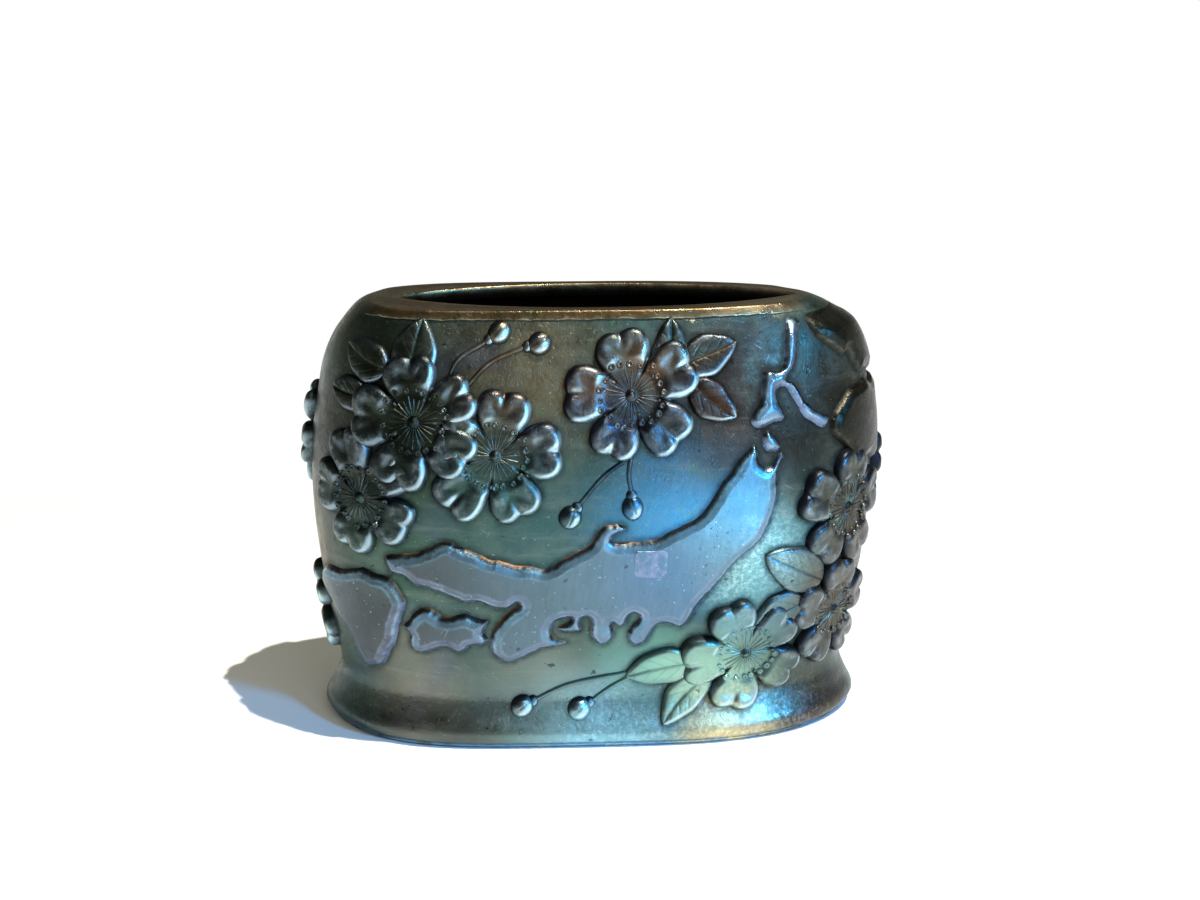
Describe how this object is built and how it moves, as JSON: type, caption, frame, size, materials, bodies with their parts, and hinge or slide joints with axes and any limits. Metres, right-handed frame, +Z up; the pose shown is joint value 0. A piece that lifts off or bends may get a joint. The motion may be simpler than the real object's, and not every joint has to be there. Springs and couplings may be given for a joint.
{
  "type": "bronze vase",
  "caption": "Flat-sided cast bronze vase with a spreading foot, a long pointed-oval mouth, and cherry blossoms and a gnarled branch in relief.",
  "frame": {"origin": "middle of the foot, on the surface that the vase stands on", "axes": "+Z up, +X along the vase's width, to the right as the front is looked at, -Y out of the front"},
  "size_m": [0.1972, 0.0969, 0.145],
  "materials": {
    "patinated_bronze": "satin patina, olive green with blue and violet sheen",
    "plain_bronze": "matt, darkened",
    "solder": "dull grey"
  },
  "bodies": {
    "root": {"body_casting": "patinated_bronze", "base_plate": "plain_bronze", "base_solder_seam": "solder", "core_plug_front": "patinated_bronze", "core_plug_back": "patinated_bronze", "core_plug_left": "patinated_bronze", "core_plug_right": "patinated_bronze"}
  },
  "joints": []
}
